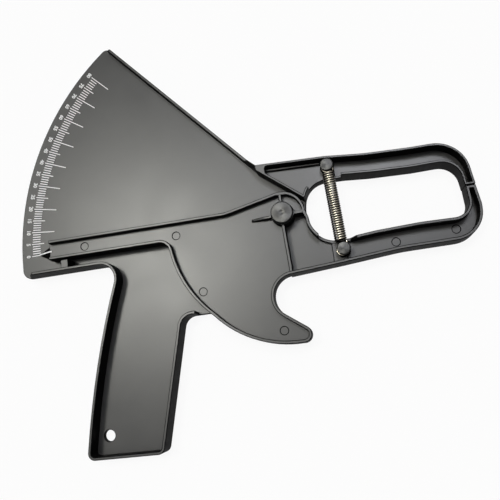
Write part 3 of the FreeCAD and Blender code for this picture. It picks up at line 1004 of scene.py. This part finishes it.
# ---- spring ----
@dataclass
class TensionSpring:
    """Close-wound wire with a side loop at each end, hooked over the posts. Lengths are in
    millimetres, steps are points in a turn or in a part of the hook, and cuts are the shares of
    the wound length at which the coils are parted into pieces."""

    mean_radius: float = 3.0
    wire_radius: float = 0.5
    turns: int = 30
    steps: int = 36
    bend: float = 0.55
    loop_open_deg: float = 300.0
    bend_steps: int = 8
    leg_steps: int = 12
    loop_steps: int = 72
    cuts: tuple = (0.0, 0.05, 0.2, 0.8, 0.95, 1.0)

    def __post_init__(self) -> None:
        """Finds the spring's line, its ends and its height from the solids."""
        joints = {joint["name"]: joint for joint in frame["record"]["behaviour"]["joints"]}
        self.down = np.array(joints["spring_stretch"]["axis"], dtype=float)
        self.down /= np.linalg.norm(self.down)
        self.up = np.array([0.0, 0.0, 1.0])
        self.side = np.cross(self.up, self.down)
        loop_low, loop_high = node_heights("spring_upper_loop")
        self.origin = np.array([*node_centre("upper_spring_post"), (loop_low + loop_high) / 2])
        self.first_loop = self.distance("spring_upper_loop")
        self.last_loop = self.distance("spring_lower_loop")
        self.start = self.ends("spring_upper_coils")[0]
        self.end = self.ends("spring_lower_coils")[1]

    def distance(self, node: str) -> float:
        """Distance of a solid's centre along the spring from the upper post, millimetres."""
        centre = np.array([*node_centre(node), self.origin[2]])
        return float((centre - self.origin) @ self.down)

    def ends(self, node: str) -> tuple:
        """First and last distance of a sleeve along the spring.

        Args:
            node: the sleeve's node.

        Returns:
            Both distances from the upper post, millimetres.
        """
        mesh = frame["nodes"][node].data
        corners = np.empty(len(mesh.vertices) * 3)
        mesh.vertices.foreach_get("co", corners)
        reach = (corners.reshape(-1, 3) / MM - self.origin) @ self.down
        return (float(reach.min()), float(reach.max()))

    def place(self, along: np.ndarray, side: np.ndarray, up: np.ndarray) -> np.ndarray:
        """Points from distances along, beside and above the spring's line.

        Args:
            along: distances from the upper post towards the lower one.
            side: distances across the spring in plan.
            up: distances above its middle height.

        Returns:
            The points, in millimetres.
        """
        pairs = ((along, self.down), (side, self.side), (up, self.up))
        parts = [distance[:, None] * axis for distance, axis in pairs]
        return self.origin + parts[0] + parts[1] + parts[2]

    def helix(self, first: float, last: float) -> tuple:
        """Coils between two shares of the wound length: the wire's centre runs round at the mean
        radius while it moves along in proportion to the angle.

        Args:
            first: share where it starts.
            last: share where it ends.

        Returns:
            Path points and outward directions.
        """
        count = int(round((last - first) * self.turns * self.steps)) + 1
        share = np.linspace(first, last, count)
        angle = 2 * np.pi * self.turns * share
        along = self.start + (self.end - self.start) * share
        outward = np.cos(angle)[:, None] * self.side + np.sin(angle)[:, None] * self.up
        side, up = self.mean_radius * np.cos(angle), self.mean_radius * np.sin(angle)
        return self.place(along, side, up), outward

    def hook(self, coil: float, loop: float, rise: float) -> tuple:
        """Side loop: a tight bend out of the last coil, a leg that eases back to the middle
        height, and an open ring round the post.

        Args:
            coil: where the coils end, along the spring.
            loop: the ring's centre, along the spring.
            rise: which way the last coil leaves, 1 up and -1 down.

        Returns:
            Path points and outward directions.
        """
        away = math.copysign(1.0, loop - coil)
        turn = np.linspace(0.0, np.pi / 2, self.bend_steps)
        bend_along = coil + away * self.bend * (1 - np.cos(turn))
        bend_up = rise * self.bend * np.sin(turn)
        share = np.linspace(0.0, 1.0, self.leg_steps)[1:]
        leg_along = bend_along[-1] + (loop - bend_along[-1]) * share
        leg_up = bend_up[-1] * (1 - share * share * (3 - 2 * share))
        ring = np.linspace(0.0, math.radians(self.loop_open_deg), self.loop_steps)[1:]
        ring_along = loop + away * self.mean_radius * np.sin(ring)
        along = np.concatenate([bend_along, leg_along, ring_along])
        up = np.concatenate([bend_up, leg_up, np.zeros(len(ring))])
        angle = np.concatenate([np.zeros(len(turn) + len(share)), ring])
        outward = away * np.sin(angle)[:, None] * self.down + np.cos(angle)[:, None] * self.side
        return self.place(along, self.mean_radius * np.cos(angle), up), outward

    def even_blend(self, first: float, last: float) -> tuple:
        """Where a smooth blend has to start and end so that it gives exactly the share of stretch
        that is due at both ends of a piece; the curve is 3t^2 - 2t^3 and is inverted here.

        Args:
            first: share at the piece's start.
            last: share at its end.

        Returns:
            Start and end as shares of the wound length.
        """
        early, late = (0.5 - math.sin(math.asin(1 - 2 * share) / 3) for share in (first, last))
        length = (last - first) / (late - early)
        start = first - early * length
        return start, start + length

    def build(self, finishes: Finishes) -> None:
        """Builds both hooks and the coils, which run between the two ends.

        Args:
            finishes: the finish of the wire.
        """
        gauge = (self.wire_radius, self.origin[2], finishes.spring)
        for name, coil, loop, rise, body in (
            ("spring_upper_loop", self.start, self.first_loop, -1.0, Rider.SPRING_UPPER),
            ("spring_lower_loop", self.end, self.last_loop, 1.0, Rider.SPRING_LOWER),
        ):
            path, outward = self.hook(coil, loop, rise)
            hook = wire(name + "_wire", path, outward, *gauge)
            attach(hook, body.value)
            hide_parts(name)
        for number, (first, last) in enumerate(zip(self.cuts, self.cuts[1:]), start=1):
            path, outward = self.helix(first, last)
            coils = wire("spring_coils_%d" % number, path, outward, *gauge)
            shares = np.array(self.even_blend(first, last))
            along = self.start + (self.end - self.start) * shares
            ends = self.place(along, np.zeros(2), np.zeros(2)) * MM
            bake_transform(coils)
            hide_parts("spring_upper_coils", "spring_lower_coils")


# ---- studio ----
def math_node(
    tree: bpy.types.NodeTree, operation: str, first: bpy.types.NodeSocket, second: object
) -> bpy.types.NodeSocket:
    """Adds a step of arithmetic to a node tree.

    Args:
        tree: the node tree.
        operation: what is done with the two values.
        first: the first value's socket.
        second: the second value's socket, or a number.

    Returns:
        The result's socket.
    """
    node = tree.nodes.new("ShaderNodeMath")
    node.operation = operation
    tree.links.new(first, node.inputs[0])
    if isinstance(second, bpy.types.NodeSocket):
        tree.links.new(second, node.inputs[1])
    else:
        node.inputs[1].default_value = second
    return node.outputs[0]


def show_mix(
    tree: bpy.types.NodeTree, output: str, share: bpy.types.NodeSocket,
    first: bpy.types.Node, second: bpy.types.Node,
) -> None:
    """Mixes two shaders and joins the mix to the surface of a node tree's output.

    Args:
        tree: the node tree.
        output: the output node's name.
        share: 0 shows the first shader and 1 the second.
        first: the first shader.
        second: the second shader.
    """
    mix = tree.nodes.new("ShaderNodeMixShader")
    tree.links.new(share, mix.inputs[0])
    tree.links.new(first.outputs[0], mix.inputs[1])
    tree.links.new(second.outputs[0], mix.inputs[2])
    tree.links.new(mix.outputs[0], tree.nodes[output].inputs["Surface"])


@dataclass
class Studio:
    """Camera, pale floor and soft lights. Two lamps are aimed by the points of the object, in
    millimetres, that mirror them. Places and sizes are in metres and powers in watts; the floor's
    shade is how much of a shadow the camera sees on it."""

    camera_place: tuple = (0.02481, -0.08796, 0.34409)
    camera_right: tuple = (0.97925, -0.12413, -0.16017)
    camera_axis: tuple = (-0.13347, 0.20484, -0.96965)
    sensor: float = 36.0
    focal_share: float = 606.9 / 500.0
    key_aim: tuple = (-78.0, -12.0)
    key_fall: float = 260.0
    key_colour: tuple = (46.5, 46.2, 43.0)
    jaw_aim: tuple = (62.0, 46.0)
    jaw_fall: float = 200.0
    jaw_colour: tuple = (24.5, 24.9, 26.4)
    horizon: tuple = (0.2, 0.2, 0.2)
    ceiling_place: tuple = (-0.03, 0.0, 1.35)
    ceiling_size: float = 1.7
    ceiling_power: float = 3.0
    lamp_colour: tuple = (1.0, 0.995, 0.98)
    floor_half: float = 3.0
    floor_colour: tuple = (0.8, 0.8, 0.8, 1.0)
    floor_roughness: float = 0.9
    floor_shade: float = 0.08

    def mirrored(self, aim: tuple) -> Vector:
        """Direction of a light whose reflection in a level face shows at a point of the object.

        Args:
            aim: the point, x and y in millimetres.

        Returns:
            The unit direction.
        """
        sight = Vector(self.camera_place) - Vector((aim[0] * MM, aim[1] * MM, 0.0))
        return Vector((-sight.x, -sight.y, sight.z)).normalized()

    def sky(self) -> None:
        """Lights the world like a studio tent: a dim horizon and soft lamps behind the cloth. Each
        glow falls off as the cosine from its middle, raised to a power. The cloth itself looks
        white to the camera."""
        world = bpy.data.worlds.new("studio_tent")
        world.use_nodes = True
        tree = world.node_tree
        direction = tree.nodes.new("ShaderNodeTexCoord").outputs["Generated"]
        total = None
        for aim, fall, colour in (
            (self.key_aim, self.key_fall, self.key_colour),
            (self.jaw_aim, self.jaw_fall, self.jaw_colour),
        ):
            cosine = tree.nodes.new("ShaderNodeVectorMath")
            cosine.operation = "DOT_PRODUCT"
            cosine.inputs[1].default_value = self.mirrored(aim)
            tree.links.new(direction, cosine.inputs[0])
            positive = math_node(tree, "MAXIMUM", cosine.outputs["Value"], 0.0)
            glow = math_node(tree, "POWER", positive, fall)
            sum_up = tree.nodes.new("ShaderNodeVectorMath")
            sum_up.operation = "MULTIPLY_ADD"
            sum_up.inputs[1].default_value = colour
            sum_up.inputs[2].default_value = self.horizon
            tree.links.new(glow, sum_up.inputs[0])
            if total:
                tree.links.new(total, sum_up.inputs[2])
            total = sum_up.outputs[0]
        light = tree.nodes["Background"]
        tree.links.new(total, light.inputs["Color"])
        cloth = tree.nodes.new("ShaderNodeBackground")
        cloth.inputs["Color"].default_value = (1.0, 1.0, 1.0, 1.0)
        seen = tree.nodes.new("ShaderNodeLightPath").outputs["Is Camera Ray"]
        show_mix(tree, "World Output", seen, light, cloth)
        bpy.context.scene.world = world

    def camera(self) -> None:
        """Sets the camera, above the grip and looking down at the plate."""
        data = bpy.data.cameras.new("camera")
        data.sensor_width = self.sensor
        data.lens = self.sensor * self.focal_share
        right, axis = Vector(self.camera_right).normalized(), Vector(self.camera_axis).normalized()
        up = right.cross(axis).normalized()
        right = axis.cross(up).normalized()
        turn = Matrix((right, up, -axis)).transposed().to_4x4()
        camera = add_object("camera", data)
        camera.matrix_world = Matrix.Translation(self.camera_place) @ turn
        bpy.context.scene.camera = camera

    def floor(self) -> None:
        """Lays a white floor under the back of the object; it still takes a soft shadow."""
        half = self.floor_half
        corners = [(-half, -half, 0.0), (half, -half, 0.0), (half, half, 0.0), (-half, half, 0.0)]
        mesh = bpy.data.meshes.new("floor")
        mesh.from_pydata(corners, [], [(0, 1, 2, 3)])
        material = bpy.data.materials.new("floor_white")
        material.use_nodes = True
        tree = material.node_tree
        lit = tree.nodes["Principled BSDF"]
        lit.inputs["Base Color"].default_value = self.floor_colour
        lit.inputs["Roughness"].default_value = self.floor_roughness
        path = tree.nodes.new("ShaderNodeLightPath")
        seen = path.outputs["Is Camera Ray"]
        for ray in ("Is Glossy Ray", "Is Transmission Ray"):
            seen = math_node(tree, "MAXIMUM", seen, path.outputs[ray])
        share = math_node(tree, "MULTIPLY", seen, 1.0 - self.floor_shade)
        glow = tree.nodes.new("ShaderNodeEmission")
        show_mix(tree, "Material Output", share, lit, glow)
        mesh.materials.append(material)
        floor = add_object("floor", mesh)

    def ceiling(self) -> None:
        """Hangs a wide, soft square light that faces the object."""
        data = bpy.data.lights.new("ceiling", "AREA")
        data.shape = "SQUARE"
        data.size = self.ceiling_size
        data.energy = self.ceiling_power
        data.color = self.lamp_colour
        lamp = add_object("ceiling", data)
        lamp.location = self.ceiling_place
        lamp.rotation_mode = "QUATERNION"
        lamp.rotation_quaternion = (-Vector(self.ceiling_place)).to_track_quat("-Z", "Y")

    def build(self) -> None:
        """Sets up the camera, floor, lights and colour handling."""
        bpy.context.scene.view_settings.view_transform = "Standard"
        self.camera()
        self.floor()
        self.sky()
        self.ceiling()


def main() -> None:
    """Builds the studio and every piece in order, and notes the sizes."""
    logging.basicConfig(level=logging.INFO, format="%(message)s")
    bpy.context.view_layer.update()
    Studio().build()
    finishes = Finishes.mixed()
    for assembly in (Mouldings(), Scale(), Pivot(), SpringPosts(), TensionSpring()):
        LOG.info("building %s", type(assembly).__name__)
        assembly.build(finishes)


if __name__ == "__main__":
    main()
